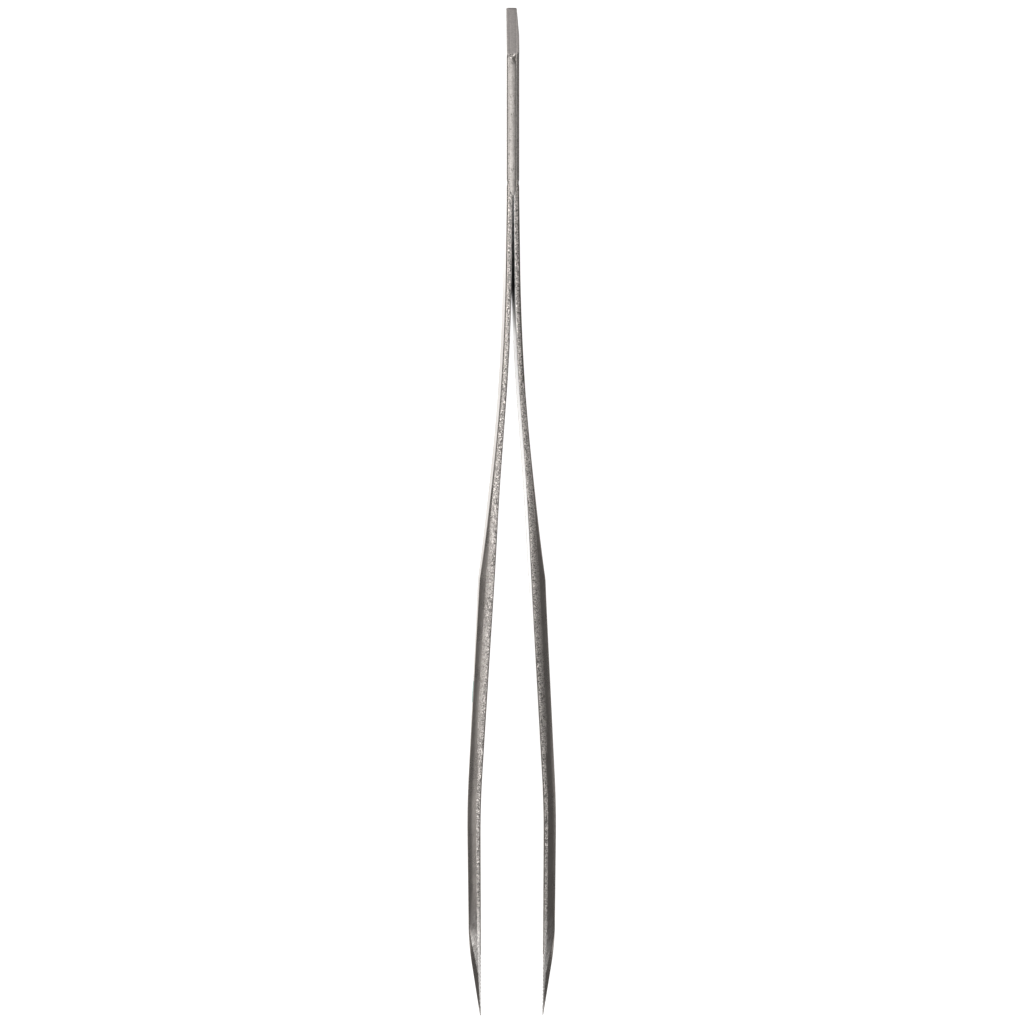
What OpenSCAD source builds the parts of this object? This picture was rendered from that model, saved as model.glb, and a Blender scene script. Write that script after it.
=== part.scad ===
// Long straight tweezers for planting aquariums.
// Two forged steel arms are welded together at the tail and spring apart.
// The tool lies on its long edges: +Z is up, the tail is at +Y, the tips are at -Y,
// and the arms open along X. The origin is under the middle of the tool, on the table.
// "s" is always the distance from the tail end along the tool, in millimetres.

/* [Overall] */
// Length from the tail end to the tips
total_length = 270; // [255:1:285]
// Clear gap between the tips with the arms at rest
tip_gap = 16.5; // [14:0.1:19]

/* [Leaves] */
// Width of the flat leaves, which is also the height of the tool as it lies
leaf_w = 10; // [9:0.1:12]
// Thickness of each leaf, in the welded tail and where it springs
leaf_t = 1.7; // [1.5:0.05:1.8]
// Chamfer along the long edges of the leaves
edge_chamfer = 0.35; // [0.2:0.05:0.45]

/* [Tail] */
// Width of the blunt tail end
tail_end_w = 6; // [5:0.1:7]
// Length of the tapered tail end
tail_taper = 12.5; // [10:0.5:15]
// Depth ground off the outer face of the right leaf at the tail end
tail_grind = 0.55; // [0:0.05:0.7]
// Length of that ground face
tail_grind_len = 7.5; // [5:0.5:9]

/* [Welds] */
// Distance from the tail end to the end of the seam welds
weld_end = 49; // [40:1:52]
// Depth of the weld groove between the leaves
weld_depth = 0.9; // [0.6:0.05:1]
// Diameter of each hidden spot weld between the leaves
spot_d = 4.5; // [3:0.5:6]

/* [Blades] */
// Distance from the tail end to the centre of the spring bend, where the arm turns
hinge_s = 78; // [74:1:82]
// Distance from the tail end to the point where the arm begins to thicken
swell_s = 100; // [96:1:104]
// Distance from the tail end to the shoulder, where the ridge is at its full height
shoulder_s = 153; // [150:1:156]
// Thickness of the arm at the shoulder
ridge_t = 4; // [3.6:0.05:4.2]
// Thickness of the arm where the ground tip begins
blade_t = 3.25; // [2.9:0.05:3.4]
// Width of the arm at its narrow neck, by the widest point of the bow
neck_w = 4.3; // [4:0.1:4.6]
// Width of the arm where the ground tip begins
blade_w = 3.4; // [3.2:0.1:4]
// Half the gap between the arms at the widest point of the bow
bow_half_gap = 8.5; // [8.3:0.05:8.8]

/* [Tips] */
// Length of the ground tip
grind_len = 19; // [17:0.5:23]
// Thickness of the tip's point
point_t = 0.3; // [0.3:0.05:0.5]
// Width of the tip's point
point_w = 0.9; // [0.8:0.1:1.2]
// Number of gripping teeth on the inner face of each tip
tooth_count = 14; // [8:1:16]
// Distance from tooth to tooth
tooth_pitch = 1; // [0.8:0.1:1]
// Depth of the grooves between the teeth
tooth_depth = 0.12; // [0.05:0.01:0.15]

/* [Hidden] */
steel = "silver";
weld_steel = "darkgray";

seam_end = weld_end + 2;             // the weld groove has run out and the leaves part
grind_s = total_length - grind_len;  // where the ground tip begins
bow_to_tip = 56.3;                   // from the widest point of the bow to the tips
bow_s = total_length - bow_to_tip;   // the widest point of the bow
grip_s = 131;                        // the straight run of the spring ends here
long_bend = 18;                      // how softly the spring bends
short_bend = 8;                      // how softly the blade bends
point_bend = 5;                      // how softly the tip's slope begins
ring_step = 4;                       // distance between the rings of an arm
inner_edge = 0.3;                    // chamfer along the inner edges of the blades
point_edge = 0.08;                   // the same at the point
flat_min = 0.1;                      // no land or crest is narrower than this
bevel_bulge = 0.1;                   // how far the bevels bulge, as a part of their height
swell_power = 2.2;                   // how late the arm swells towards the shoulder
ease_count = 4;                      // samples on each side when a corner is eased
plain_point = 2.5;                   // length of the point beyond the teeth
teeth_s = total_length - plain_point - tooth_count * tooth_pitch;  // where the teeth begin

nose_r = 0.7;        // round nose on which the arm turns
nose_play = 0.02;    // radial play of the nose in its seat
leaf_end_play = 0.06;  // play between the ends of the tail leaf and the arm
spot_s = [18, 33];     // where the two spot welds sit
spot_reach = 0.3;      // how far a spot weld reaches into each leaf

// Half the gap between the arms, as straight runs whose corners are then eased.
gap_line = [
    [0, 0],
    [seam_end, 0],
    [hinge_s + 9, 0.5],
    [grip_s, 3.75],
    [shoulder_s, 4.9],
    [bow_s, bow_half_gap],
    [total_length, tip_gap / 2],
];

// Width of the arm.
width_line = [
    [0, tail_end_w],
    [tail_taper, leaf_w],
    [shoulder_s - 6, leaf_w],
    [shoulder_s + 13, leaf_w * 0.74],
    [bow_s - 26, leaf_w * 0.56],
    [bow_s - 7, neck_w],
    [grind_s, blade_w],
    [total_length, point_w],
];

// Height of the flat side edge, measured from the inner face.
land_line = [
    [0, leaf_t - edge_chamfer],
    [swell_s, leaf_t - edge_chamfer],
    [grip_s, 1.85],
    [shoulder_s, 1.9],
    [bow_s - 24, 1.45],
    [bow_s - 6, 1.25],
    [grind_s, 1.05],
    [total_length, point_t * 0.5],
];

// How far each outer bevel runs in from the side edge.
bevel_line = [
    [0, edge_chamfer],
    [swell_s + 15, edge_chamfer],
    [shoulder_s - 13, 1],
    [shoulder_s, 1.65],
    [bow_s - 26, 1.65],
    [bow_s - 7, 1.55],
    [grind_s, 0.95],
    [total_length, point_w * 0.35],
];

// The arm turns about the middle of its leaf.
hinge_x = half_gap(hinge_s) + thickness(hinge_s) / 2;

function mean(list) = list * [for (i = list) 1] / len(list);

// The value of a line of straight runs at s, with its corners eased over a length of 2 r.
function eased(s, line, r) =
    mean([for (i = [-ease_count:ease_count]) lookup(s + i * r / ease_count, line)]);

// The easing length, which shrinks to nothing at the corners that stay sharp.
function soft(s) =
    min(short_bend, s, abs(s - tail_taper), abs(s - grind_s), total_length - s);

// The leaves lie flat together as far as the end of the welds.
function half_gap(s) =
    eased(s, gap_line, s < (hinge_s + grip_s) / 2
        ? max(0, min(long_bend, s - seam_end))
        : min(short_bend, total_length - s));

function swell(s) =
    leaf_t + (ridge_t - leaf_t) * pow((s - swell_s) / (shoulder_s - swell_s), swell_power);

function thickness(s) =
    s < swell_s ? leaf_t
    : s < shoulder_s ? swell(s)
    : eased(s, [[shoulder_s, ridge_t], [grind_s, blade_t], [total_length, point_t]],
            min(point_bend, s - shoulder_s, total_length - s));

function width(s) = eased(s, width_line, soft(s));

// Inner edge chamfer: a deep weld groove in the tail, a small chamfer elsewhere.
function inner_chamfer(s) =
    lookup(s, [[weld_end, weld_depth], [seam_end, inner_edge], [grind_s, inner_edge],
               [total_length, point_edge]]);

// One ring of an arm, as [x, y, z] points for the right-hand arm.
// "lift" moves the inner face outwards, as in the grooves between the teeth.
function ring(s, lift = 0, ground = 0) =
    let(
        t = thickness(s) - ground,
        w = width(s) / 2,
        land = min(eased(s, land_line, soft(s)), t - flat_min),
        crest = max(w - eased(s, bevel_line, soft(s)), flat_min),
        c = inner_chamfer(s),
        bulge = bevel_bulge * (t - land),
        half = [
            [lift, w - c],
            [max(c, lift), w],
            [land, w],
            [(land + t) / 2 + bulge, (w + crest) / 2 + bulge],
            [t, crest]
        ],
        turned = [for (i = [len(half) - 1:-1:0]) [half[i][0], -half[i][1]]]
    )
    [for (p = concat(half, turned))
        [half_gap(s) + p[0], total_length / 2 - s, leaf_w / 2 + p[1]]];

// A closed solid through a list of rings with the same number of points.
module loft(rings) {
    n = len(rings[0]);
    last = len(rings) - 1;
    sides = [for (k = [0:last - 1], i = [0:n - 1])
        let(a = k * n + i, b = k * n + (i + 1) % n)
        each [[a, b + n, a + n], [a, b, b + n]]];
    first_cap = [for (i = [n - 1:-1:0]) i];
    last_cap = [for (i = [0:n - 1]) last * n + i];
    polyhedron([for (r = rings, p = r) p], concat([first_cap], sides, [last_cap]), 6);
}

// Where the rings of the tail leaf and of the springing arm stand.
tail_rings = concat(
    [0, tail_grind_len, tail_taper, weld_end, seam_end],
    [for (s = [seam_end + ring_step:ring_step:hinge_s - 2]) s],
    [hinge_s - leaf_end_play]
);
arm_rings = concat(
    [for (s = [hinge_s:ring_step:shoulder_s - 2]) s],
    [shoulder_s],
    [for (s = [shoulder_s + ring_step:ring_step:grind_s - 2]) s],
    [grind_s]
);

// An upright round bar on the axis on which the arm turns.
module nose(r, overhang) {
    translate([hinge_x, total_length / 2 - hinge_s, -overhang])
        cylinder(r = r, h = leaf_w + 2 * overhang, $fn = 64);
}

// The fixed end of the right-hand arm, with the seat in which the arm's nose turns.
module tail_leaf(grind) {
    difference() {
        loft([for (s = tail_rings)
            ring(s, 0, s < tail_grind_len ? grind * (1 - s / tail_grind_len) : 0)]);
        nose(nose_r + nose_play, 1);
        end_groove();
        spots();
    }
}

// The moving part of the right-hand arm: half of the spring, the blade and the tip.
module arm() {
    union() {
        loft(concat(
            [for (s = arm_rings) ring(s)],
            [for (i = [0:2 * tooth_count])
                ring(teeth_s + i * tooth_pitch / 2, i % 2 == 0 ? 0 : tooth_depth)],
            [ring(total_length)]
        ));
        nose(nose_r, -edge_chamfer);
    }
}

// The weld metal in the groove along the upper edges of the leaves.
module seam_weld() {
    loft([for (s = [0, tail_taper, weld_end])
        let(y = total_length / 2 - s, z = leaf_w / 2 + width(s) / 2)
        [[0, y, z - weld_depth], [-weld_depth, y, z], [weld_depth, y, z]]]);
}

// The weld metal in the groove across the blunt end.
module end_groove() {
    h = tail_end_w - 2 * weld_depth;
    translate([0, total_length / 2, (leaf_w - h) / 2])
        linear_extrude(h)
            polygon([[-weld_depth, 0], [0, -weld_depth], [weld_depth, 0]]);
}

// The spot welds, as discs sunk equally into both leaves.
module spots() {
    for (s = spot_s)
        translate([-spot_reach, total_length / 2 - s, leaf_w / 2])
            rotate([0, 90, 0]) cylinder(d = spot_d, h = 2 * spot_reach, $fn = 48);
}

module left_tail_leaf() { color(steel) mirror([1, 0, 0]) tail_leaf(0); }

module right_tail_leaf() { color(steel) tail_leaf(tail_grind); }

module left_arm() { color(steel) mirror([1, 0, 0]) arm(); }

module right_arm() { color(steel) arm(); }

module upper_seam_weld() { color(weld_steel) seam_weld(); }

module lower_seam_weld() {
    color(weld_steel) translate([0, 0, leaf_w]) mirror([0, 0, 1]) seam_weld();
}

module tail_end_weld() { color(weld_steel) end_groove(); }

module spot_welds() { color(weld_steel) spots(); }

left_tail_leaf();
right_tail_leaf();
left_arm();
right_arm();
upper_seam_weld();
lower_seam_weld();
tail_end_weld();
spot_welds();
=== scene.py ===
"""Long straight steel tweezers for planting aquariums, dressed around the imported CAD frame.

The tool lies on its long edges: +Z is up, the welded tail is at +Y and the points are at -Y.
"s" is always the distance from the tail end along the tool. Lengths are in metres.
"""

import math

import bmesh
import bpy
from bpy.props import FloatProperty, FloatVectorProperty, IntProperty, PointerProperty
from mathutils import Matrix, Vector, noise


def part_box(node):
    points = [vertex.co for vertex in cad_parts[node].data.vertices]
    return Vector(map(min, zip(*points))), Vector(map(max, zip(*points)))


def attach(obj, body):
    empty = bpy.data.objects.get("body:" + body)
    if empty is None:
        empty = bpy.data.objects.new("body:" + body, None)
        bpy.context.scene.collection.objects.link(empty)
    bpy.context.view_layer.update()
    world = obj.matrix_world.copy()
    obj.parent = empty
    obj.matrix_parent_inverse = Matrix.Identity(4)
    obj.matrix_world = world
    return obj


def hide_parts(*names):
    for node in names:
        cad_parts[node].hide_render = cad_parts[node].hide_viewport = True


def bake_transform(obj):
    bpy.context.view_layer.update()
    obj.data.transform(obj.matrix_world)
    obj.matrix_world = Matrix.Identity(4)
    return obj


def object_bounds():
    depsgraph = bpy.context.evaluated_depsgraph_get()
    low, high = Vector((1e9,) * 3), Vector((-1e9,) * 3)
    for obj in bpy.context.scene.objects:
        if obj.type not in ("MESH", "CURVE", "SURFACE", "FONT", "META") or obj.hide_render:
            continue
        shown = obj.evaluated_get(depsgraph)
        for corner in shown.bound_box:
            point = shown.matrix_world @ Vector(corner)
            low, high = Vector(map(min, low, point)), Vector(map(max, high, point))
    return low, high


bl_info = {
    "name": "Planting Tweezers",
    "version": (1, 0, 0),
    "blender": (4, 5, 0),
    "location": "3D View > Sidebar > Tweezers",
    "description": "Long planting tweezers: two sprung arms, their welds, an ink bar and a stage",
    "category": "Add Mesh",
}

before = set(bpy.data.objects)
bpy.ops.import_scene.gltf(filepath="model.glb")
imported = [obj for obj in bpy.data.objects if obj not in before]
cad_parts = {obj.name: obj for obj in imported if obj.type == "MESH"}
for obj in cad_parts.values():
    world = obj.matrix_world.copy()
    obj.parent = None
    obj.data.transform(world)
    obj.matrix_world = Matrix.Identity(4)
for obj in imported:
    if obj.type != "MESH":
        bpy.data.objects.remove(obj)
CAD_LOW, CAD_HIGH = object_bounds()

MM = 0.001
LENGTH = CAD_HIGH.y - CAD_LOW.y
TAIL_Y = CAD_HIGH.y
MID_Z = (CAD_LOW.z + CAD_HIGH.z) / 2
LEAF_WIDTH = CAD_HIGH.z - CAD_LOW.z
WELD_LENGTH = TAIL_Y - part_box("upper_seam_weld")[0].y

SIDES = {"left": -1, "right": 1}

# The finishes of an arm's surfaces, in the order of its material slots.
BLASTED, BEVEL, FACE, TIP, TAIL, INNER, CROWN = range(7)

STREAK_DEPTH = 0.008 * MM
SHARP = math.radians(50)  # faces that meet at more than this show a sharp edge


# ---------------------------------------------------------------- sizes and colours


def length(name, description, default, least=0.0):
    """A length that a user may change."""
    return FloatProperty(
        name=name, description=description, default=default, min=least, unit="LENGTH", precision=5
    )


def colour(name, description, default):
    """A colour that a user may change."""
    return FloatVectorProperty(
        name=name, description=description, default=default, size=3, min=0, max=1, subtype="COLOR"
    )


class ArmSizes(bpy.types.PropertyGroup):
    """Sizes of the two forged arms."""

    leaf_thickness: length("Leaf thickness", "Thickness of the flat leaf", 1.7 * MM)
    shoulder_thickness: length("Shoulder thickness", "Thickness at the shoulder", 4 * MM)
    blade_thickness: length("Blade thickness", "Thickness where the point begins", 3.25 * MM)
    point_thickness: length("Point thickness", "Thickness of the very point", 0.3 * MM)
    tip_gap: length("Tip gap", "Gap between the points at rest", 16.5 * MM)
    bow_gap: length("Bow gap", "Gap between the arms at the widest point", 17 * MM)
    neck_width: length("Neck width", "Width of the arm at the widest point of the bow", 4.3 * MM)
    blade_width: length("Blade width", "Width of the arm where the point begins", 3.4 * MM)
    point_width: length("Point width", "Width of the very point", 0.9 * MM)
    grind_length: length("Point length", "Length of the ground point", 19 * MM)
    edge_crown: FloatProperty(
        name="Edge crown",
        description="How strongly the long edges curve away towards the outer face, per metre",
        default=130,
    )
    corner_radius: length("Corner radius", "Rounding of the long edges", 0.16 * MM)
    tooth_count: IntProperty(
        name="Teeth", description="Gripping teeth inside each point", default=14, min=0, max=16
    )
    tooth_pitch: length("Tooth pitch", "Distance from tooth to tooth", 1 * MM)
    tooth_depth: length("Tooth depth", "Depth of the grooves between the teeth", 0.12 * MM)


class TailSizes(bpy.types.PropertyGroup):
    """Sizes of the welded tail."""

    end_width: length("End width", "Width of the blunt tail end", 6 * MM)
    taper: length("Taper", "Length of the tapered tail end", 12.5 * MM)
    grind_depth: length("Grind depth", "Depth ground off the right leaf at the end", 0.55 * MM)
    grind_length: length("Grind length", "Length of that ground face", 7.5 * MM)
    groove: length("Groove", "Depth of the weld groove between the leaves", 0.9 * MM)
    pit_depth: length("Pit depth", "Depth of the pits in the weld metal", 0.035 * MM)


class Finish(bpy.types.PropertyGroup):
    """Colours of the steel, the weld metal and the ink."""

    steel: colour("Steel", "Blasted steel", (0.41, 0.383, 0.361))
    bevel: colour("Bevel", "Ground bevels and points", (0.29, 0.266, 0.248))
    face: colour("Face", "Satin outer faces", (0.56, 0.525, 0.495))
    tail: colour("Tail end", "Ground faces of the tapered tail end", (0.42, 0.39, 0.375))
    weld: colour("Weld metal", "Ground weld metal", (0.32, 0.3, 0.283))
    polished: colour("Polished", "Linished and honed steel, inner faces", (0.82, 0.8, 0.78))
    # painted shade: near black, for the inner faces between the leaves near the welds
    crevice_shade: colour("Crevice", "Dark inner faces near the welds", (0.02, 0.018, 0.016))
    ink: colour("Ink", "Printed bar on the left arm", (0.10, 0.30, 0.25))
    floor: colour("Floor", "Pale floor", (0.35, 0.35, 0.35))


class StageSettings(bpy.types.PropertyGroup):
    """The camera's place and the lights."""

    distance: length("Distance", "Distance from the camera to the tool", 1145 * MM)
    lens: FloatProperty(
        name="Lens",
        description="Focal length of the camera, in millimetres",
        default=150,
        unit="CAMERA",
    )
    lean: FloatProperty(
        name="Lean",
        description="How far the camera leans over to the left of the tool",
        default=math.radians(5),
        subtype="ANGLE",
    )
    key_power: FloatProperty(
        name="Key light", description="Power of the soft light overhead", default=8.6, unit="POWER"
    )
    world: FloatProperty(name="Surroundings", description="Brightness of the room", default=0.22)
    floor_glow: FloatProperty(
        name="Floor glow", description="Brightness of the lit floor sheet", default=0.97
    )


# ---------------------------------------------------------------- the shape of an arm


def lookup(x, line):
    """The value at x of a line of straight runs."""
    if x <= line[0][0]:
        return line[0][1]
    for (x0, y0), (x1, y1) in zip(line, line[1:]):
        if x <= x1:
            return y0 + (y1 - y0) * (x - x0) / (x1 - x0)
    return line[-1][1]


def eased(x, line, reach):
    """The same line with its corners eased over a length of twice the reach."""
    count = 12
    steps = range(-count, count + 1)
    return sum(lookup(x + reach * k / count, line) for k in steps) / (2 * count + 1)


def rounded(corners, radii, shares, steps):
    """A path with its inner corners rounded. Every corner gives the same number of points.

    A share is the most of the runs beside its corner that the rounding may take.
    """
    path = [corners[0]]
    for before, here, after, radius, share in zip(corners, corners[1:], corners[2:], radii, shares):
        back, on = before - here, after - here
        start = here + back.normalized() * min(radius, back.length * share)
        stop = here + on.normalized() * min(radius, on.length * share)
        for k in range(steps + 1):
            u = k / steps
            path.append(start * (1 - u) ** 2 + here * (2 * u * (1 - u)) + stop * u**2)
    path.append(corners[-1])
    return path


def straight(start, stop, count):
    """Evenly spaced points from start to stop, without the last."""
    return [start.lerp(stop, k / count) for k in range(count)]


class ArmShape:
    """The shape of one arm along its length: the CAD arm's, with softer and finer edges.

    Each line is a list of (distance from the tail end, value) points.
    """

    corner_steps = 4
    corner_shares = (0.45, 0.45, 0.3, 0.62, 0.33, 0.45)
    face_steps = 4
    slant = 0.35  # how far the border of the taper moves towards the tail end for each step right
    inside = 0.015 * MM  # keeps the outer face inside the CAD arm
    thinnest = 0.12 * MM  # the least that the bevel takes of the thickness
    lowest = 0.08 * MM  # the least height of the crest above the middle

    # Small irregularities of the forging: how long and how deep they are.
    wobble_length, wobble_depth = 9 * MM, 0.12 * MM
    ripple_length, ripple_depth = 2.3 * MM, 0.05 * MM
    notch_length, notch_depth = 0.7 * MM, 0.14 * MM  # near the end of the seam weld

    # Places along the arm, and how softly its outline bends there.
    parting_s = 87 * MM  # the leaves stand a millimetre apart
    crevice_stop = 88 * MM  # the shade between the leaves ends
    swell_s = 100 * MM  # the leaf begins to thicken
    spring_stop = 104 * MM  # the soft bend of the spring ends
    grip_s = 131 * MM  # the straight run of the spring ends
    shoulder_s = 153 * MM  # the arm is thickest
    spring_ease = 18 * MM
    blade_ease = 8 * MM

    def __init__(self, arm, tail):
        self.arm, self.tail = arm, tail
        self.weld_end = WELD_LENGTH
        self.seam_end = WELD_LENGTH + 1.3 * MM
        self.crown_stop = WELD_LENGTH - 3 * MM
        self.bow_s = LENGTH - 56.3 * MM
        self.grind_s = LENGTH - arm.grind_length
        self.teeth_s = LENGTH - 2.5 * MM - arm.tooth_count * arm.tooth_pitch
        self.draw_lines()

    def draw_lines(self):
        """Lay out the lines of the outline, the edges and the finish."""
        arm, tail, small = self.arm, self.tail, self.arm.corner_radius
        weld_end, seam_end = self.weld_end, self.seam_end
        swell, grip, shoulder = self.swell_s, self.grip_s, self.shoulder_s
        bow, grind = self.bow_s, self.grind_s

        self.gap_line = [
            (0, 0), (seam_end, 0), (self.parting_s, 0.5 * MM), (grip, 3.75 * MM),
            (shoulder, 4.9 * MM), (bow, arm.bow_gap / 2), (LENGTH, arm.tip_gap / 2),
        ]
        self.blade_line = [
            (shoulder, arm.shoulder_thickness), (grind, arm.blade_thickness),
            (LENGTH, arm.point_thickness),
        ]
        self.width_line = [
            (0, tail.end_width), (tail.taper, LEAF_WIDTH), (shoulder - 6 * MM, LEAF_WIDTH),
            (shoulder + 13 * MM, LEAF_WIDTH * 0.74), (bow - 26 * MM, LEAF_WIDTH * 0.56),
            (bow - 7 * MM, arm.neck_width), (grind, arm.blade_width), (LENGTH, arm.point_width),
        ]

        # Width of the long edge itself, then what it leaves of the leaf's thickness.
        self.land_line = [
            (swell, arm.leaf_thickness - 0.5 * MM), (swell + 15 * MM, 1.3 * MM), (grip, 1.7 * MM),
            (shoulder, 1.6 * MM), (bow - 24 * MM, 1.4 * MM), (bow - 6 * MM, 1.25 * MM),
            (grind, 1.05 * MM), (LENGTH, arm.point_thickness * 0.5),
        ]
        self.leaf_edge_line = [
            (tail.taper, 0.14 * MM), (tail.taper + 1 * MM, 0.42 * MM), (90 * MM, 0.5 * MM),
        ]
        # How uneven the border between the long edge and the bevel is.
        self.uneven_line = [(swell, 0), (grip, 1), (LENGTH, 0)]
        # Height of the bevel.
        self.bevel_line = [
            (tail.taper, 0.12 * MM), (tail.taper + 1 * MM, 0.32 * MM),
            (swell + 15 * MM, 0.36 * MM), (grip, 0.5 * MM), (shoulder - 13 * MM, 0.9 * MM),
            (shoulder, 1.45 * MM), (bow - 26 * MM, 1.3 * MM), (bow - 7 * MM, 1.42 * MM),
            (grind, 0.82 * MM), (LENGTH, arm.point_width * 0.35),
        ]
        # The weld groove in the tail, a small chamfer elsewhere.
        self.groove_line = [
            (weld_end, tail.groove), (seam_end, 0.22 * MM), (80 * MM, 0.22 * MM),
            (95 * MM, 0.18 * MM), (shoulder, 0.2 * MM), (bow, 0.33 * MM), (grind, 0.34 * MM),
            (LENGTH, 0.06 * MM),
        ]
        # Rounding between the long edge and the bevel: soft at the shoulder, crisp further on.
        self.land_radius_line = [
            (swell, small * 0.6), (grip, 0.35 * MM), (shoulder, 1 * MM), (bow - 26 * MM, 1 * MM),
            (bow - 10 * MM, 0.3 * MM), (grind, small),
        ]
        self.facet_radius_line = [(grind - 12 * MM, 1 * MM), (grind, small)]
        self.crest_radius_line = [
            (swell, small * 0.8), (shoulder, small * 1.5), (LENGTH, small * 0.4),
        ]
        # Where the bevel's middle edge stands: 0 at the long edge, 1 at the crest.
        # At the point this edge is the border of the ground facet, which runs in diagonally.
        self.facet_line = [
            (grind - 14 * MM, 0.5), (grind - 4 * MM, 0.95), (grind + 8 * MM, 0.1), (LENGTH, 0.06),
        ]
        # How far the bevel bulges, as a share of its width.
        self.fullness_line = [
            (shoulder, 0.02), (bow, 0.09), (grind - 12 * MM, 0.09), (grind, 0.17), (LENGTH, 0.12),
        ]
        # How strongly the long edge is crowned, and where it is highest: at the seam in the
        # tail, later on each leaf's middle.
        self.crown_line = [
            (tail.taper - 0.1 * MM, 0.0), (tail.taper + 0.7 * MM, 1.0), (weld_end - 4 * MM, 1.0),
            (seam_end + 4 * MM, 2.0), (grip - 8 * MM, 2.0), (shoulder - 8 * MM, 1.1),
            (shoulder + 12 * MM, 1.6), (bow - 24 * MM, 1.1), (bow, 0.8), (grind, 1.0),
            (LENGTH, 2.4),
        ]
        middle = arm.leaf_thickness * 0.38
        self.crown_middle_line = [
            (weld_end - 4 * MM, 0.0), (seam_end + 4 * MM, middle), (grip - 5 * MM, middle * 0.6),
            (shoulder, 0.3 * MM), (bow, 0.0),
        ]

        # The marks that change the finish along the arm. dark_line is the painted shade on the
        # inner faces between the leaves, and spread_line spreads the painted shade on the long
        # edges towards the bevels.
        self.dark_line = [(75 * MM, 1), (80 * MM, 0.35), (self.crevice_stop, 0)]
        self.bright_line = [(seam_end + 8 * MM, 1), (swell - 15 * MM, 0)]
        self.honed_line = [(grind - 11 * MM, 0), (grind, 0.6), (grind + 11 * MM, 1)]
        self.spread_line = [
            (grip - 12 * MM, 0), (shoulder - 8 * MM, 1), (bow - 20 * MM, 1), (bow, 0),
        ]

    def half_gap(self, s):
        """Distance from the middle plane to the inner face."""
        if s < self.spring_stop:
            return eased(s, self.gap_line, max(0.0, min(self.spring_ease, s - self.seam_end)))
        return eased(s, self.gap_line, min(self.blade_ease, LENGTH - s))

    def thickness(self, s):
        """Thickness from the inner face to the outer face."""
        arm = self.arm
        if s < self.swell_s:
            return arm.leaf_thickness
        if s < self.shoulder_s:
            share = (s - self.swell_s) / (self.shoulder_s - self.swell_s)
            return arm.leaf_thickness + (arm.shoulder_thickness - arm.leaf_thickness) * share**2.2
        return eased(s, self.blade_line, min(5 * MM, s - self.shoulder_s, LENGTH - s))

    def soft(self, s):
        """Easing length of the outline, which shrinks to nothing at its sharp corners."""
        from_grind = max(3 * MM, abs(s - self.grind_s))
        return min(self.blade_ease, s, abs(s - self.tail.taper), from_grind, LENGTH - s)

    def half_width(self, s):
        """Half the width of the arm."""
        return eased(s, self.width_line, self.soft(s)) / 2

    def groove(self, s):
        """Size of the chamfer along the inner edge."""
        return lookup(s, self.groove_line)

    def tooth(self, s):
        """How far the inner face is cut back between the teeth."""
        place = (s - self.teeth_s) / self.arm.tooth_pitch
        if not 0 <= place <= self.arm.tooth_count:
            return 0.0
        return self.arm.tooth_depth * (1 - abs(2 * (place % 1) - 1))

    def crown(self, s, x):
        """Curvature of the long edges, x to the right of the middle. The tapered tail end is flat.

        The border of the taper is slanted, as it is ground by hand.
        """
        slanted = s + self.slant * x if s < self.weld_end / 2 else s
        return self.arm.edge_crown * lookup(slanted, self.crown_line)

    def end_inset(self, s, radius=0.07 * MM):
        """How far the section is drawn in to round the blunt tail end."""
        if s >= radius:
            return 0.0
        return radius - math.sqrt(radius**2 - (radius - s) ** 2)

    def upper_half(self, s, ground, side):
        """Corners of the section's upper half, and how softly each inner one is rounded.

        A corner is (x from the inner face, z from the middle). So much is ground off outside.
        """
        wobble = noise.noise(Vector((side * 7.3, s / self.wobble_length, 0.4)))
        ripple = noise.noise(Vector((side * 3.1, s / self.ripple_length, 5.1)))
        past = (s - self.weld_end + 2 * MM) / self.notch_length
        notch = self.notch_depth * math.exp(-(past**2))
        thick = self.thickness(s) - ground - self.end_inset(s, 0.35 * MM) - notch - self.inside
        wide = self.half_width(s) - self.end_inset(s)
        if s < self.swell_s:
            land = thick - lookup(s, self.leaf_edge_line)
        else:
            land = min(eased(s, self.land_line, self.soft(s)), thick - self.thinnest)
            land -= abs(wobble) * self.wobble_depth * lookup(s, self.uneven_line)
        drop = eased(s, self.bevel_line, self.soft(s))
        chamfer = self.groove(s) + abs(ripple) * self.ripple_depth
        lift = self.tooth(s)
        share = lookup(s, self.facet_line)

        inner_edge = Vector((lift, wide - chamfer))
        start = max(chamfer, lift + 0.03 * MM)
        halfway = start + (land - start) * 0.35
        middle = lookup(s, self.crown_middle_line)

        def crowned(x):
            return Vector((x, wide - self.crown(s, side * x) * (x - middle) ** 2))

        land_start, land_middle, land_stop = crowned(start), crowned(halfway), crowned(land)
        inner_edge.y -= wide - land_start.y
        crest_edge = Vector((thick, max(land_stop.y - drop, self.lowest)))
        across = crest_edge - land_stop
        fullness = lookup(s, self.fullness_line)
        bulge = Vector((-across.y, across.x)).normalized() * across.length * fullness
        bulge *= 4 * share * (1 - share)
        corners = [
            Vector((lift, 0)),
            inner_edge,
            land_start,
            land_middle,
            land_stop,
            land_stop.lerp(crest_edge, share) + bulge,
            crest_edge,
            Vector((thick, 0)),
        ]
        small = self.arm.corner_radius
        radii = (
            small * 0.7,
            small * 0.7,
            1 * MM,
            lookup(s, self.land_radius_line),
            lookup(s, self.facet_radius_line),
            lookup(s, self.crest_radius_line),
        )
        return corners, radii

    def crest(self, s):
        """Height of the left arm's outer face above the middle."""
        corners, _ = self.upper_half(s, 0.0, SIDES["left"])
        return corners[6].y

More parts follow.
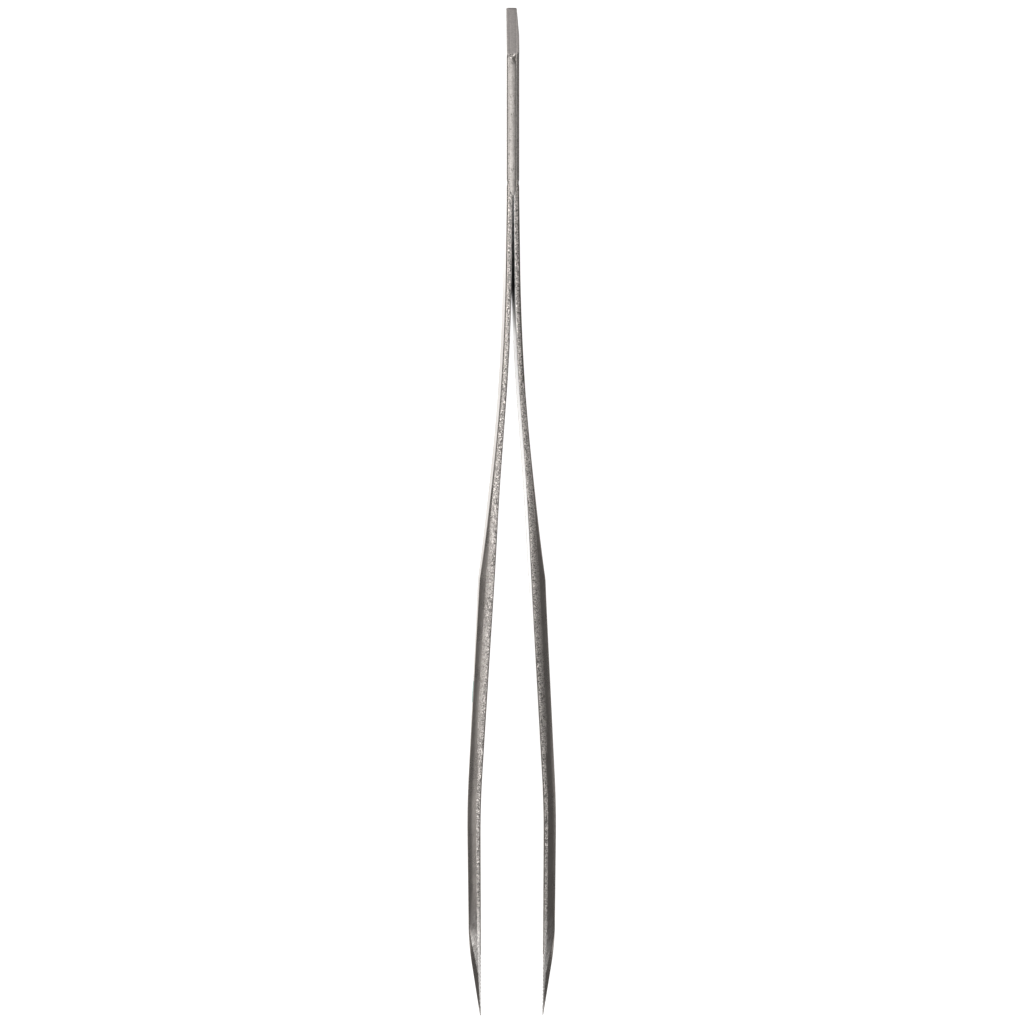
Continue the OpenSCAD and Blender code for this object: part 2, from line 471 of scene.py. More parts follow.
    def finishes(self, s, side):
        """The finishes of the inner rim, the long edge, the bevel and the facet at s."""
        if s + self.slant * side * self.arm.leaf_thickness / 2 < self.tail.taper:
            return TAIL, TAIL, TAIL, TIP
        if s < self.crown_stop:
            return CROWN, CROWN, CROWN, TIP
        if s < self.swell_s + 12 * MM:
            # painted shade: near the welds the inner rim takes the inner faces' material, with its
            # painted shade
            shaded = self.seam_end - 1 * MM < s < self.crevice_stop
            return INNER if shaded else BLASTED, BLASTED, TIP, TIP
        rim = BEVEL if s > self.grip_s else BLASTED
        return rim, BLASTED, BEVEL, BEVEL if s < self.grind_s - 4 * MM else TIP

    def rub_and_glint(self, s):
        """How rubbed each corner of the upper half is, with its painted highlight, from the inner
        edge to the crest.
        """
        if s < self.crown_stop:
            return (0.0,) * 6
        if s < self.swell_s:
            return (0.4, 0.7, 0.0, 0.0, 0.0, 0.0)
        return (0.3, 0.5, 0.0, 0.2, 0.1, 0.15)

    def section(self, s, ground, side):
        """The closed section, the finish of each of its faces, and marks for its points.

        The first mark is how rubbed each corner is, with a painted highlight along it. The zone is
        the painted shade of the inner face between the leaves, how honed the long edge is towards
        the point, and how polished the outer face is. The last mark is the painted shade of the
        long edge towards the bevel, where the grain is also smoothed.
        """
        corners, radii = self.upper_half(s, ground, side)
        path = rounded(corners, radii, self.corner_shares, self.corner_steps)
        step = self.corner_steps + 1
        inner = straight(path[0], path[1], self.face_steps)
        outer = straight(path[-2], path[-1], self.face_steps + 1)[1:]
        points = inner + path[1:-1] + outer + [path[-1]]
        count, first = len(points), len(inner)

        corner = [first + step * k + step // 2 for k in range(6)]
        blasted_stop = corner[3]
        if s < self.swell_s or side > 0:
            corner[5] += step // 2
        if self.swell_s <= s < self.bow_s - 15 * MM:
            blasted_stop += step // 2
        rim, edge, bevel, facet = self.finishes(s, side)
        finish = [
            INNER if k < first
            else rim if k < corner[1]
            else edge if k < blasted_stop
            else bevel if k < corner[4]
            else facet if k < corner[5]
            else FACE
            for k in range(count)
        ]

        # rubbed corners, each with a painted highlight along it
        rubbed_and_glinting = [0.0] * count
        for place, amount in enumerate(self.rub_and_glint(s)):
            for k in range(1, self.corner_steps):
                rubbed_and_glinting[first + place * step + k] = amount
        dark, bright = lookup(s, self.dark_line), lookup(s, self.bright_line)
        honed, spread = lookup(s, self.honed_line), lookup(s, self.spread_line)
        # painted shade on the inner face between the leaves; elsewhere the zone marks the honed
        # long edge and the polished outer face
        shaded = corner[1] if s < self.swell_s else corner[0]
        zone = [dark if k < shaded else honed if k < corner[4] else bright for k in range(count)]
        border = points[blasted_stop].x
        # painted shade: the long edge darkens towards the bevel, and its grain is smoothed there
        bevel_shade_and_smoothing = [spread * lookup(p.x, [(border * 0.3, 0), (border, 1)]) for p in points]

        def all_round(values):
            return values + values[-2:0:-1]

        below = [Vector((p.x, -p.y)) for p in points[-2:0:-1]]
        marks = {"rubbed_and_glinting": all_round(rubbed_and_glinting), "zone": all_round(zone), "bevel_shade_and_smoothing": all_round(bevel_shade_and_smoothing)}
        return points + below, all_round(finish), marks

    def stations(self):
        """Distances from the tail end at which the arm has a ring."""
        places = {0.0, LENGTH}

        def run(start, stop, step):
            count = max(1, round((stop - start) / step))
            places.update(start + (stop - start) * k / count for k in range(count + 1))

        run(0, 0.36 * MM, 0.04 * MM)
        run(0.36 * MM, LENGTH - 20 * MM, 0.9 * MM)
        run(self.tail.taper - 0.5 * MM, self.tail.taper + 1 * MM, 0.15 * MM)
        run(self.weld_end - 3.5 * MM, self.seam_end + 0.5 * MM, 0.25 * MM)
        run(self.grind_s - 1 * MM, self.teeth_s, 0.25 * MM)
        run(self.teeth_s, LENGTH, self.arm.tooth_pitch / 8)
        kept = []
        for s in sorted(places):
            if not kept or s - kept[-1] > 0.02 * MM:
                kept.append(s)
        return kept


def ring_mesh(name, rings, finishes, marks=()):
    """A closed mesh through rings of equal size, with a finish for each face.

    The marks are a dictionary of lists for each ring, kept as attributes of the points.
    """
    mesh = bpy.data.meshes.new(name)
    form = bmesh.new()
    layers = {key: form.verts.layers.float.new(key) for key in (marks[0] if marks else ())}
    rows = [[form.verts.new(p) for p in ring] for ring in rings]
    for row, mark in zip(rows, marks):
        for key, layer in layers.items():
            for vert, value in zip(row, mark[key]):
                vert[layer] = value
    count = len(rows[0])
    for here, on, finish in zip(rows, rows[1:], finishes):
        for i in range(count):
            j = (i + 1) % count
            face = form.faces.new((here[i], here[j], on[j], on[i]))
            face.material_index = finish[i]
    caps = [form.faces.new(rows[0][::-1]), form.faces.new(rows[-1])]
    caps[0].material_index, caps[1].material_index = finishes[0][0], finishes[-1][0]
    bmesh.ops.recalc_face_normals(form, faces=form.faces)
    for face in form.faces:
        face.smooth = True
    for edge in form.edges:
        edge.smooth = edge.calc_face_angle(0) < SHARP
    for cap in caps:
        cap.smooth = False
        for edge in cap.edges:
            edge.smooth = False
    form.to_mesh(mesh)
    form.free()
    piece = bpy.data.objects.new(name, mesh)
    bpy.context.collection.objects.link(piece)
    return piece


# ---------------------------------------------------------------- materials


def node(tree, kind, **values):
    """A node with its settings, or its sockets' values where the name is a socket's."""
    made = tree.nodes.new(kind)
    for name, value in values.items():
        if name in made.bl_rna.properties:
            setattr(made, name, value)
        else:
            made.inputs[name.replace("_", " ")].default_value = value
    return made


def math_node(tree, operation, first, second, clamp=False):
    """A sum, product or the like of two values, each a socket or a number."""
    made = node(tree, "ShaderNodeMath", operation=operation, use_clamp=clamp)
    for place, value in enumerate((first, second)):
        if isinstance(value, (int, float)):
            made.inputs[place].default_value = value
        else:
            tree.links.new(value, made.inputs[place])
    return made.outputs[0]


def range_node(tree, value, low, high, to_low, to_high):
    """A value carried from one range to another."""
    made = node(
        tree, "ShaderNodeMapRange", From_Min=low, From_Max=high, To_Min=to_low, To_Max=to_high
    )
    tree.links.new(value, made.inputs["Value"])
    return made.outputs["Result"]


def new_group(name, inputs, outputs):
    """A shader node group with a vector and these sockets, its input and its output node."""
    group = bpy.data.node_groups.new(name, "ShaderNodeTree")
    add = group.interface.new_socket
    add(name="Vector", in_out="INPUT", socket_type="NodeSocketVector")
    for key, default in inputs.items():
        made = add(name=key, in_out="INPUT", socket_type="NodeSocketFloat")
        made.default_value = default
    for key in outputs:
        add(name=key, in_out="OUTPUT", socket_type="NodeSocketFloat")
    return group, node(group, "NodeGroupInput"), node(group, "NodeGroupOutput")


def blast_grain_group():
    """Bead-blasted steel: short raised worms and the shade that they catch."""
    inputs = {"Scale": 1500.0, "Contrast": 1.0}
    group, start, stop = new_group("Blast Grain", inputs, ("Height", "Shade"))
    coarse = node(group, "ShaderNodeTexNoise", Detail=2.0, Roughness=0.55, Distortion=1.6)
    fine = node(group, "ShaderNodeTexNoise", Detail=3.0, Roughness=0.6, Distortion=0.4)
    for texture, factor in ((coarse, 1.0), (fine, 3.2)):
        group.links.new(start.outputs["Vector"], texture.inputs["Vector"])
        scale = math_node(group, "MULTIPLY", start.outputs["Scale"], factor)
        group.links.new(scale, texture.inputs["Scale"])
    worms = range_node(group, coarse.outputs["Fac"], 0.36, 0.64, 0.0, 1.0)
    grit = range_node(group, fine.outputs["Fac"], 0.3, 0.7, 0.0, 1.0)
    height = math_node(group, "ADD", worms, math_node(group, "MULTIPLY", grit, 0.35))
    group.links.new(height, stop.inputs["Height"])
    centred = math_node(group, "SUBTRACT", worms, 0.5)
    strong = math_node(group, "MULTIPLY", centred, start.outputs["Contrast"])
    group.links.new(math_node(group, "ADD", strong, 0.5, clamp=True), stop.inputs["Shade"])
    return group


def grind_streaks_group():
    """Fine grinding marks, long in one direction."""
    inputs = {"Across": 5000.0, "Along": 250.0, "Turn": 0.0}
    group, start, stop = new_group("Grind Streaks", inputs, ("Height", "Shade"))
    turn = node(group, "ShaderNodeCombineXYZ")
    group.links.new(start.outputs["Turn"], turn.inputs["Z"])
    size = node(group, "ShaderNodeCombineXYZ")
    for axis, value in (("X", "Across"), ("Y", "Along"), ("Z", "Across")):
        group.links.new(start.outputs[value], size.inputs[axis])
    turned = node(group, "ShaderNodeMapping")
    group.links.new(start.outputs["Vector"], turned.inputs["Vector"])
    group.links.new(turn.outputs["Vector"], turned.inputs["Rotation"])
    stretched = node(group, "ShaderNodeVectorMath", operation="MULTIPLY")
    group.links.new(turned.outputs["Vector"], stretched.inputs[0])
    group.links.new(size.outputs["Vector"], stretched.inputs[1])
    lines = node(group, "ShaderNodeTexNoise", Scale=1.0, Detail=3.0, Roughness=0.7)
    group.links.new(stretched.outputs["Vector"], lines.inputs["Vector"])
    shade = range_node(group, lines.outputs["Fac"], 0.32, 0.68, 0.0, 1.0)
    group.links.new(shade, stop.inputs["Height"])
    group.links.new(shade, stop.inputs["Shade"])
    return group


def edge_rub_and_glint_group():
    """Broken bright marks along the edges that the mesh marks: rubbed steel, and painted highlights
    on the arms' edges and on the weld drops.
    """
    inputs = {"Rubbed And Glinting": 0.0, "Amount": 1.0}
    group, start, stop = new_group("Edge Rub And Glint", inputs, ("Mask",))
    breaks = node(group, "ShaderNodeTexNoise", Scale=900.0, Detail=4.0, Roughness=0.65)
    group.links.new(start.outputs["Vector"], breaks.inputs["Vector"])
    patch = range_node(group, breaks.outputs["Fac"], 0.35, 0.6, 0.25, 1.0)
    rubbed_and_glinting = math_node(group, "MULTIPLY", start.outputs["Rubbed And Glinting"], start.outputs["Amount"])
    group.links.new(math_node(group, "MULTIPLY", rubbed_and_glinting, patch, clamp=True), stop.inputs["Mask"])
    return group


def handling_group():
    """Slow changes of shade from handling, heat and rinsing."""
    group, start, stop = new_group("Handling", {}, ("Shade",))
    cloud = node(
        group, "ShaderNodeTexNoise", Scale=110.0, Detail=4.0, Roughness=0.55, Distortion=0.3
    )
    group.links.new(start.outputs["Vector"], cloud.inputs["Vector"])
    shade = range_node(group, cloud.outputs["Fac"], 0.3, 0.7, 0.0, 1.0)
    group.links.new(shade, stop.inputs["Shade"])
    return group


def weld_pits_group():
    """Small round pits and low ripples of ground weld metal."""
    group, start, stop = new_group("Weld Pits", {}, ("Height", "Pits"))
    cells = node(group, "ShaderNodeTexVoronoi", Scale=1300.0, Randomness=1.0)
    ripple = node(group, "ShaderNodeTexNoise", Scale=700.0, Detail=4.0, Roughness=0.6)
    choice = node(group, "ShaderNodeTexNoise", Scale=420.0, Detail=1.0)
    for texture in (cells, ripple, choice):
        group.links.new(start.outputs["Vector"], texture.inputs["Vector"])
    holes = range_node(group, cells.outputs["Distance"], 0.12, 0.3, 1.0, 0.0)
    chosen = range_node(group, choice.outputs["Fac"], 0.54, 0.6, 0.0, 1.0)
    pits = math_node(group, "MULTIPLY", holes, chosen, clamp=True)
    group.links.new(pits, stop.inputs["Pits"])
    height = math_node(group, "SUBTRACT", ripple.outputs["Fac"], pits)
    group.links.new(height, stop.inputs["Height"])
    return group


GROUPS = {
    "grain": blast_grain_group,
    "streaks": grind_streaks_group,
    "rub_and_glint": edge_rub_and_glint_group,
    "handling": handling_group,
    "pits": weld_pits_group,
}


BUILT_GROUPS = {}


def shared_group(name):
    """The shader node group of that name, built the first time it is asked for."""
    if name not in BUILT_GROUPS:
        BUILT_GROUPS[name] = GROUPS[name]()
    return BUILT_GROUPS[name]


class Recipe:
    """A material that is being put together from the shared groups."""

    def __init__(self, name):
        self.material = bpy.data.materials.new(name)
        self.material.use_nodes = True
        self.tree = self.material.node_tree
        self.shader = self.tree.nodes["Principled BSDF"]
        self.place = node(self.tree, "ShaderNodeTexCoord").outputs["Object"]

    def use(self, name, **values):
        """A shared group in this material, with its own values."""
        made = node(self.tree, "ShaderNodeGroup")
        made.node_tree = shared_group(name)
        self.tree.links.new(self.place, made.inputs["Vector"])
        for key, value in values.items():
            made.inputs[key].default_value = value
        return made.outputs

    def rubbed_and_glinting(self):
        """The rubbing and painted highlights that the mesh marks on edges and weld drops."""
        mark = node(self.tree, "ShaderNodeAttribute", attribute_name="rubbed_and_glinting")
        rub_and_glint = self.use("rub_and_glint")
        self.tree.links.new(mark.outputs["Fac"], rub_and_glint["Mask"].node.inputs["Rubbed And Glinting"])
        return rub_and_glint["Mask"]

    def mark(self, name):
        """The zone or the fade that the mesh marks on its points."""
        return node(self.tree, "ShaderNodeAttribute", attribute_name=name).outputs["Fac"]

    def tint(self, base, *layers):
        """The base colour with layers of (mask, colour) laid over it."""
        result = None
        for mask, colour_over in layers:
            mix = node(self.tree, "ShaderNodeMix", data_type="RGBA")
            self.tree.links.new(mask, mix.inputs["Factor"])
            if result is None:
                mix.inputs["A"].default_value = (*base, 1)
            else:
                self.tree.links.new(result, mix.inputs["A"])
            mix.inputs["B"].default_value = (*colour_over, 1)
            result = mix.outputs["Result"]
        self.tree.links.new(result, self.shader.inputs["Base Color"])

    def roughen(self, value, low, high):
        """Roughness between two values."""
        roughness = range_node(self.tree, value, 0, 1, low, high)
        self.tree.links.new(roughness, self.shader.inputs["Roughness"])

    def emboss(self, height, depth, strength):
        """A bump of that depth in metres."""
        bump = node(self.tree, "ShaderNodeBump", Strength=strength, Distance=depth)
        self.tree.links.new(height, bump.inputs["Height"])
        self.tree.links.new(bump.outputs["Normal"], self.shader.inputs["Normal"])


    def bare_metal(self):
        """Make the whole surface metal."""
        self.shader.inputs["Metallic"].default_value = 1


def scaled(base, factor):
    """A colour made lighter or darker."""
    return tuple(min(1.0, channel * factor) for channel in base)


def blasted_steel(base, honed, bevel):
    """The bead-blasted long edges, honed smooth towards the point, and darkened towards the bevel
    by painted shade, where their grain is also smoothed.
    """
    recipe = Recipe("blasted_edge")
    grain = recipe.use("grain", Scale=2500.0, Contrast=1.6)
    handling = recipe.use("handling")
    zone, bevel_shade_and_smoothing = recipe.mark("zone"), recipe.mark("bevel_shade_and_smoothing")
    recipe.tint(
        scaled(base, 0.25),
        (grain["Shade"], scaled(base, 2.0)),
        (zone, honed),
        # rubbed edges with a painted highlight
        (recipe.rubbed_and_glinting(), scaled(base, 1.5)),
        # painted shade towards the bevel
        (range_node(recipe.tree, bevel_shade_and_smoothing, 0, 1, 0, 0.8), scaled(bevel, 0.9)),
    )
    recipe.roughen(handling["Shade"], 0.3, 0.4)
    ground_off = math_node(recipe.tree, "MULTIPLY", bevel_shade_and_smoothing, 0.6)
    smoothed = math_node(recipe.tree, "MAXIMUM", zone, ground_off)
    left = range_node(recipe.tree, smoothed, 0, 1, 1, 0.1)
    recipe.emboss(math_node(recipe.tree, "MULTIPLY", grain["Height"], left), 0.06 * MM, 0.9)
    recipe.bare_metal()
    return recipe.material


def ground_steel(name, base, across, along, turn, low, high, rub_and_glint=1.5, over=None, streaked=True):
    """A ground surface with fine streaks, its roughness from low to high.

    Where the mesh marks a zone, another colour lies over it, streaked or whole.
    """
    recipe = Recipe(name)
    streaks = recipe.use("streaks", Across=across, Along=along, Turn=turn)
    handling = recipe.use("handling")
    # rubbed edges with a painted highlight
    layers = [(streaks["Shade"], scaled(base, 1.12)), (recipe.rubbed_and_glinting(), scaled(base, rub_and_glint))]
    if over:
        zone = recipe.mark("zone")
        if streaked:
            zone = math_node(recipe.tree, "MULTIPLY", zone, streaks["Shade"])
        layers.insert(1, (zone, over))
    recipe.tint(scaled(base, 0.85), *layers)
    recipe.roughen(handling["Shade"], low, high)
    recipe.emboss(streaks["Height"], STREAK_DEPTH, 0.7)
    recipe.bare_metal()
    return recipe.material


def tail_steel(name, base):
    """The ground faces of the tapered tail end, dull and without a clear direction."""
    return ground_steel(name, base, 2600.0, 2600.0, 0.0, 0.5, 0.58)


def inner_steel(base, crevice_shade):
    """The inner faces: satin steel, turned near black, dull and not metal by painted shade between
    the leaves near the welds.
    """
    recipe = Recipe("inner_face")
    streaks = recipe.use("streaks", Across=3600.0, Along=200.0)
    zone = recipe.mark("zone")
    recipe.tint(
        scaled(base, 0.85),
        (streaks["Shade"], scaled(base, 1.12)),
        # painted shade: near black between the leaves
        (zone, crevice_shade),
        # rubbed edges with a painted highlight
        (recipe.rubbed_and_glinting(), scaled(base, 1.4)),
    )
    recipe.roughen(zone, 0.28, 0.85)
    recipe.emboss(streaks["Height"], STREAK_DEPTH, 0.7)
    metallic = range_node(recipe.tree, zone, 0, 1, 1, 0)
    recipe.tree.links.new(metallic, recipe.shader.inputs["Metallic"])
    recipe.shader.inputs["Specular IOR Level"].default_value = 0.1
    return recipe.material


def weld_metal(name, base):
    """Ground weld metal with a faint grain and pits."""
    recipe = Recipe(name)
    pits = recipe.use("pits")
    handling = recipe.use("handling")
    grain = recipe.use("grain", Scale=1500.0, Contrast=1.0)
    recipe.tint(
        scaled(base, 0.78),
        (grain["Shade"], scaled(base, 1.2)),
        (math_node(recipe.tree, "MULTIPLY", handling["Shade"], 0.35), scaled(base, 1.35)),
        (math_node(recipe.tree, "MULTIPLY", pits["Pits"], 0.6), scaled(base, 0.35)),
        # painted highlight on the weld drops, and on rubbed edges
        (recipe.rubbed_and_glinting(), scaled(base, 2.4)),
    )
    recipe.roughen(handling["Shade"], 0.42, 0.55)
    recipe.emboss(pits["Height"], 0.05 * MM, 0.7)
    recipe.bare_metal()
    return recipe.material


def printed_ink(base):
    """A thin coat of ink over blasted steel."""
    recipe = Recipe("printed_ink")
    grain = recipe.use("grain", Scale=2600.0, Contrast=0.8)
    handling = recipe.use("handling")
    recipe.tint(scaled(base, 0.85), (grain["Shade"], scaled(base, 1.2)))
    recipe.roughen(handling["Shade"], 0.42, 0.58)
    recipe.emboss(grain["Height"], 0.01 * MM, 0.6)
    return recipe.material


def pale_floor(base, glow):
    """A plain pale sheet, lit from behind as on a light table."""
    recipe = Recipe("pale_floor")
    handling = recipe.use("handling")
    recipe.tint(scaled(base, 0.995), (handling["Shade"], base))
    recipe.roughen(handling["Shade"], 0.85, 0.92)
    recipe.shader.inputs["Emission Color"].default_value = (1, 1, 1, 1)
    recipe.shader.inputs["Emission Strength"].default_value = glow
    return recipe.material


# ---------------------------------------------------------------- operators


def row_point(side, x, s, z):
    """A point in the row frame, from its distances out, along and up from the middle."""
    return Vector((side * x, TAIL_Y - s, MID_Z + z))


class TWEEZERS_OT_arms(bpy.types.Operator):
    """Build both forged arms, each one piece from the tail end to the point"""

    bl_idname = "tweezers.arms"
    bl_label = "Arms"

    def execute(self, context):
        scene = context.scene
        arm, tail, finish = scene.arm_sizes, scene.tail_sizes, scene.finish
        shape, shine = ArmShape(arm, tail), finish.polished
        steels = [
            blasted_steel(finish.steel, shine, finish.bevel),
            ground_steel("ground_bevel", finish.bevel, 4200.0, 420.0, 0.35, 0.24, 0.32, over=shine),
            ground_steel(
                "outer_face", finish.face, 3600.0, 200.0, 0.0, 0.3, 0.42, 1.3, shine, streaked=False
            ),
            ground_steel("ground_point", finish.bevel, 5200.0, 700.0, -0.5, 0.22, 0.3),
            tail_steel("ground_tail", finish.tail),
            inner_steel(shine, finish.crevice_shade),
            weld_metal("ground_crown", finish.weld),
        ]
        for name, side in SIDES.items():
            rings, finishes, marks = [], [], []
            grind_depth = tail.grind_depth if side == SIDES["right"] else 0.0
            for s in shape.stations():
                cut = grind_depth * max(0.0, 1 - s / tail.grind_length)
                points, finish_ring, mark = shape.section(s, cut, side)
                gap = shape.half_gap(s)
                rings.append([row_point(side, gap + p.x, s, p.y) for p in points])
                finishes.append(finish_ring)
                marks.append(mark)
            piece = ring_mesh(f"{name}_arm_forging", rings, finishes, marks)
            for steel in steels:
                piece.data.materials.append(steel)
            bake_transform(piece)
            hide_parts(f"{name}_tail_leaf", f"{name}_arm")
        return {"FINISHED"}


class TWEEZERS_OT_welds(bpy.types.Operator):
    """Build the ground seam welds and the weld across the blunt tail end"""

    bl_idname = "tweezers.welds"
    bl_label = "Welds"

    columns = 16
    overlap = 0.12 * MM  # how far a seam's edge reaches over the groove's
    sunk = 0.2 * MM  # how deep the start of a seam lies
    seam_rim = 0.05 * MM  # how far the edges of a seam and of the end weld fall away
    end_rim = 0.06 * MM
    end_pit = 0.02 * MM
    # The drops of weld metal at the start of a seam, and the pits between them: each one's
    # place across the seam and along it from the taper, its radius and its height, in mm.
    # each drop that rises carries a painted highlight
    drops = (
        (-0.65, 1.1, 0.4, 0.2),
        (-0.1, 0.85, 0.25, 0.12),
        (0.3, 0.5, 0.25, 0.16),
        (0.7, 0.2, 0.3, 0.2),
        (0.7, 1.6, 0.6, -0.32),
        (-0.2, 2.3, 0.4, -0.06),
    )

    def execute(self, context):
        tail = context.scene.tail_sizes
        shape = ArmShape(context.scene.arm_sizes, tail)
        metal = weld_metal("ground_weld", context.scene.finish.weld)
        taper_steel = tail_steel("ground_taper", context.scene.finish.tail)
        for name, up in (("upper_seam", 1), ("lower_seam", -1)):
            piece = self.seam(shape, tail, name, up)
            piece.data.materials.append(metal)
            piece.data.materials.append(taper_steel)
            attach(piece, "root")
            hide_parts(f"{name}_weld")
        piece = self.end_bead(shape, tail)
        piece.data.materials.append(metal)
        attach(piece, "root")
        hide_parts("tail_end_weld")
        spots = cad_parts["spot_welds"]
        spots.data.materials.clear()
        spots.data.materials.append(metal)
        return {"FINISHED"}

    def stations(self, shape, tail):
        """Distances from the tail end at which a seam has a ring, closest at its rough start."""
        start, stop = tail.taper - 0.4 * MM, tail.taper + 3.5 * MM
        places = [start * k / 30 for k in range(30)]
        places += [start + (stop - start) * k / 30 for k in range(30)]
        places += [stop + (shape.seam_end - stop) * k / 90 for k in range(91)]
        return places

    def seam(self, shape, tail, name, up):
        """One seam weld, ground to a low crown, with its root in the groove."""
        rings, marks = [], []
        places = self.stations(shape, tail)
        for s in places:
            wide = shape.half_width(s) - shape.end_inset(s)
            root = shape.groove(s)
            reach = root + self.overlap
            pit_depth = tail.pit_depth * lookup(s, [(tail.taper, 0), (tail.taper + 1 * MM, 1)])
            ring, rubbed_and_glinting = [], []
            for c in range(self.columns + 1):
                x = reach * (2 * c / self.columns - 1)
                edge = abs(x) / reach
                pit = abs(noise.noise(Vector((x / (0.5 * MM), s / (0.9 * MM), up * 3.0))))
                z = wide - shape.crown(s, x) * x**2 - pit_depth * pit - self.seam_rim * edge**6
                height, bright = self.blobs(x * up, s, tail)
                ring.append(Vector((x, TAIL_Y - s, MID_Z + up * (z + height))))
                # painted highlight on the drops
                rubbed_and_glinting.append(bright)
            ring.append(Vector((0, TAIL_Y - s, MID_Z + up * (wide - root))))
            rings.append(ring)
            marks.append({"rubbed_and_glinting": rubbed_and_glinting + [0.0]})
        finishes = [[1 if s < tail.taper else 0] * len(rings[0]) for s in places]
        return ring_mesh(f"{name}_bead", rings, finishes, marks)

    def blobs(self, x, s, tail):
        """The rough start of a seam: the height of its drops of weld metal, and a painted highlight
        on the drops that rise.

        The drops stand around a pit and are sunk, so that they stay flush.
        """
        past = s - tail.taper
        height = -self.sunk * lookup(past, [(0, 0), (0.3 * MM, 1), (5 * MM, 0)])
        bright = 0.0
        for across, along, radius, rise in self.drops:
            far = math.hypot(x - across * MM, past - along * MM) / (radius * MM)
            height += rise * MM * math.exp(-(far**2))
            # painted highlight where a drop rises
            if rise > 0:
                bright += math.exp(-(far**2))
        return min(height, 0.0), min(bright, 1.0)

    def end_bead(self, shape, tail):
        """The weld across the blunt end, flush with it."""
        rings, rows = [], 24
        high = shape.half_width(0) - shape.end_inset(0)
        for k in range(rows + 1):
            z = high * (2 * k / rows - 1)
            ring = []
            for c in range(self.columns + 1):
                x = tail.groove * (2 * c / self.columns - 1)
                pit = abs(noise.noise(Vector((x / (0.5 * MM), z / (0.6 * MM), 9.0))))
                edge = abs(x) / tail.groove
                y = TAIL_Y - self.end_pit * pit - self.end_rim * edge**6
                ring.append(Vector((x, y, MID_Z + z)))
            ring.append(Vector((0, TAIL_Y - tail.groove, MID_Z + z)))
            rings.append(ring)
        return ring_mesh("tail_end_bead", rings, [[0] * len(ring) for ring in rings])


class TWEEZERS_OT_ink(bpy.types.Operator):
    """Print a plain rounded bar on the outer face of the left arm"""

    bl_idname = "tweezers.ink"
    bl_label = "Ink bar"

    middle_s = 183.2 * MM
    half_length = 2.8 * MM
    corner = 0.4 * MM
    margin = 0.25 * MM  # what the bar leaves free of the outer face above and below
    proud = 0.008 * MM  # how far the ink stands out of the face, and reaches into it
    sunk = 0.02 * MM
    columns = 12
    rows = 40

    def execute(self, context):
        shape = ArmShape(context.scene.arm_sizes, context.scene.tail_sizes)
        half_height = shape.crest(self.middle_s + self.half_length) - self.margin
        levels = [2 * c / self.columns - 1 for c in range(self.columns + 1)]
        rings = []
        for k in range(self.rows + 1):
            place = -self.half_length + 2 * self.half_length * k / self.rows
            over = max(0.0, abs(place) - (self.half_length - self.corner))
            rise = math.sqrt(max(self.corner**2 - over**2, (0.1 * self.corner) ** 2))
            high = half_height - self.corner + rise
            s = self.middle_s + place
            outer = shape.half_gap(s) + shape.thickness(s)
            face = [row_point(-1, outer + self.proud, s, high * level) for level in levels]
            back = [row_point(-1, outer - self.sunk, s, -high * level) for level in levels]
            rings.append(face + back)
        piece = ring_mesh("ink_bar", rings, [[0] * len(ring) for ring in rings])
        piece.data.materials.append(printed_ink(context.scene.finish.ink))
        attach(piece, "left_arm")
        return {"FINISHED"}


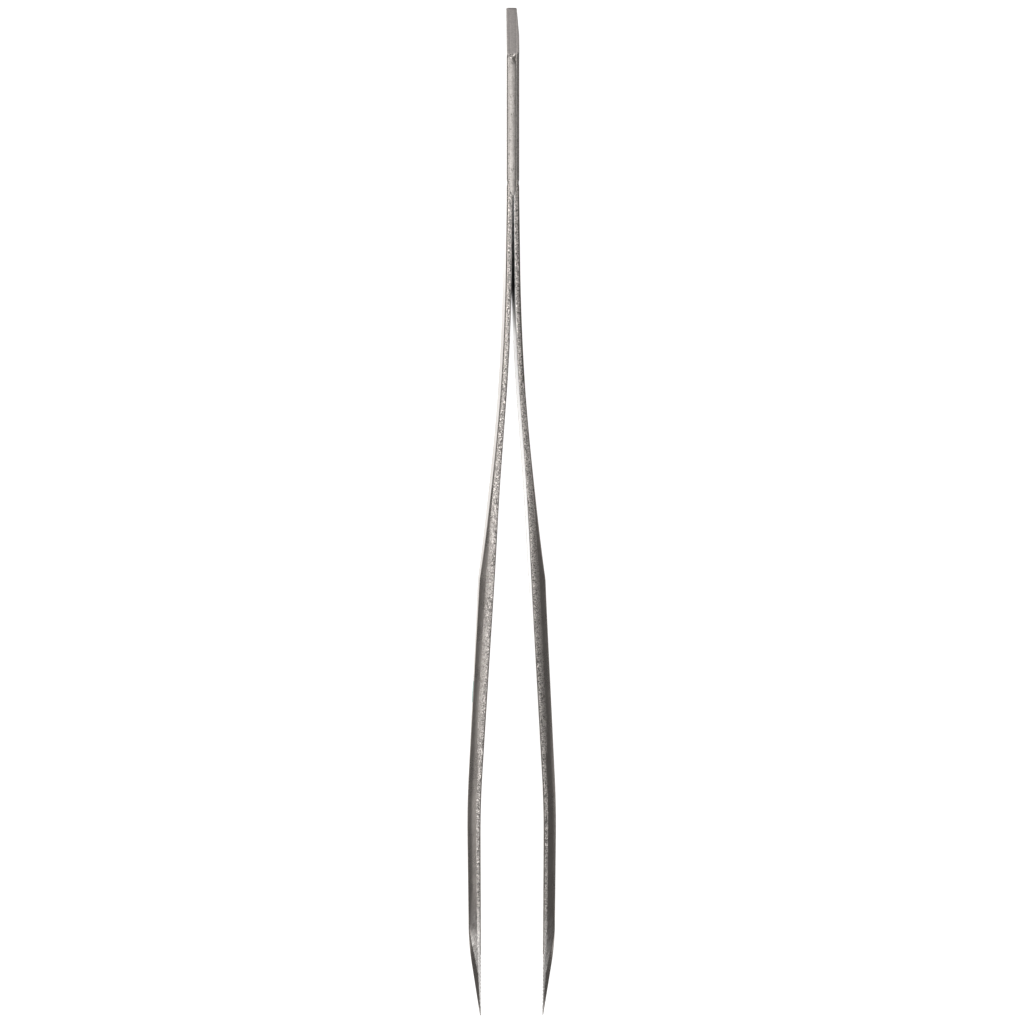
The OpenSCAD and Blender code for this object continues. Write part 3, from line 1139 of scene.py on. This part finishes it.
class TWEEZERS_OT_stage(bpy.types.Operator):
    """Set the floor, the camera and the soft lights"""

    bl_idname = "tweezers.stage"
    bl_label = "Stage"

    key_place = (-0.41, 0.15, 0.9)
    key_size = (0.4, 1.3)
    floor_size = 3
    aim = 0.1 * MM  # how far to the right of the middle the camera looks
    near, far = 0.05, 20

    def execute(self, context):
        settings = context.scene.stage_settings
        self.floor(context.scene.finish.floor, settings.floor_glow)
        self.camera(context, settings)
        self.light("key_light", self.key_place, self.key_size, settings.key_power)
        world = bpy.data.worlds.new("soft_room")
        world.use_nodes = True
        room = world.node_tree.nodes["Background"]
        room.inputs["Color"].default_value = (1, 1, 1, 1)
        room.inputs["Strength"].default_value = settings.world
        context.scene.world = world
        context.scene.view_settings.view_transform = "Standard"
        return {"FINISHED"}

    def floor(self, base, glow):
        """A pale sheet under the tool."""
        mesh = bpy.data.meshes.new("floor")
        form = bmesh.new()
        bmesh.ops.create_grid(form, x_segments=8, y_segments=8, size=self.floor_size)
        form.to_mesh(mesh)
        form.free()
        sheet = bpy.data.objects.new("floor", mesh)
        sheet.location.z = CAD_LOW.z
        mesh.materials.append(pale_floor(base, glow))
        bpy.context.collection.objects.link(sheet)

    def camera(self, context, settings):
        """The camera over the tool, leaning to the left, with the tail at the top."""
        data = bpy.data.cameras.new("camera")
        data.lens = settings.lens
        data.clip_start, data.clip_end = self.near, self.far
        camera = bpy.data.objects.new("camera", data)
        away = Vector((-math.sin(settings.lean), 0, math.cos(settings.lean)))
        camera.location = Vector((self.aim, 0, MID_Z)) + away * settings.distance
        camera.rotation_euler = (0, -settings.lean, 0)
        context.collection.objects.link(camera)
        context.scene.camera = camera

    def light(self, name, place, size, power):
        """A soft rectangular light aimed at the middle of the tool."""
        data = bpy.data.lights.new(name, "AREA")
        data.shape = "RECTANGLE"
        data.size, data.size_y = size
        data.energy = power
        lamp = bpy.data.objects.new(name, data)
        lamp.location = place
        lamp.rotation_euler = (-Vector(place)).to_track_quat("-Z", "Y").to_euler()
        bpy.context.collection.objects.link(lamp)


class TWEEZERS_PT_panel(bpy.types.Panel):
    """Sizes, colours and the pieces, in the order in which they are built"""

    bl_idname = "TWEEZERS_PT_panel"
    bl_label = "Planting Tweezers"
    bl_space_type = "VIEW_3D"
    bl_region_type = "UI"
    bl_category = "Tweezers"

    def draw(self, context):
        for step in STEPS:
            self.layout.operator(step)
        for name in SETTINGS:
            box = self.layout.box()
            settings = getattr(context.scene, name)
            for key in settings.__annotations__:
                box.prop(settings, key)


SETTINGS = {
    "arm_sizes": ArmSizes,
    "tail_sizes": TailSizes,
    "finish": Finish,
    "stage_settings": StageSettings,
}
STEPS = ("tweezers.arms", "tweezers.welds", "tweezers.ink", "tweezers.stage")
CLASSES = (
    *SETTINGS.values(),
    TWEEZERS_OT_arms,
    TWEEZERS_OT_welds,
    TWEEZERS_OT_ink,
    TWEEZERS_OT_stage,
    TWEEZERS_PT_panel,
)


def register():
    """Add the classes and the settings."""
    for made in CLASSES:
        bpy.utils.register_class(made)
    for name, kind in SETTINGS.items():
        setattr(bpy.types.Scene, name, PointerProperty(type=kind))


def unregister():
    """Take the settings and the classes away."""
    for name in SETTINGS:
        delattr(bpy.types.Scene, name)
    for made in reversed(CLASSES):
        bpy.utils.unregister_class(made)


def main():
    """Build every piece in order."""
    register()
    for step in STEPS:
        section, action = step.split(".")
        getattr(getattr(bpy.ops, section), action)()


if __name__ == "__main__":
    main()
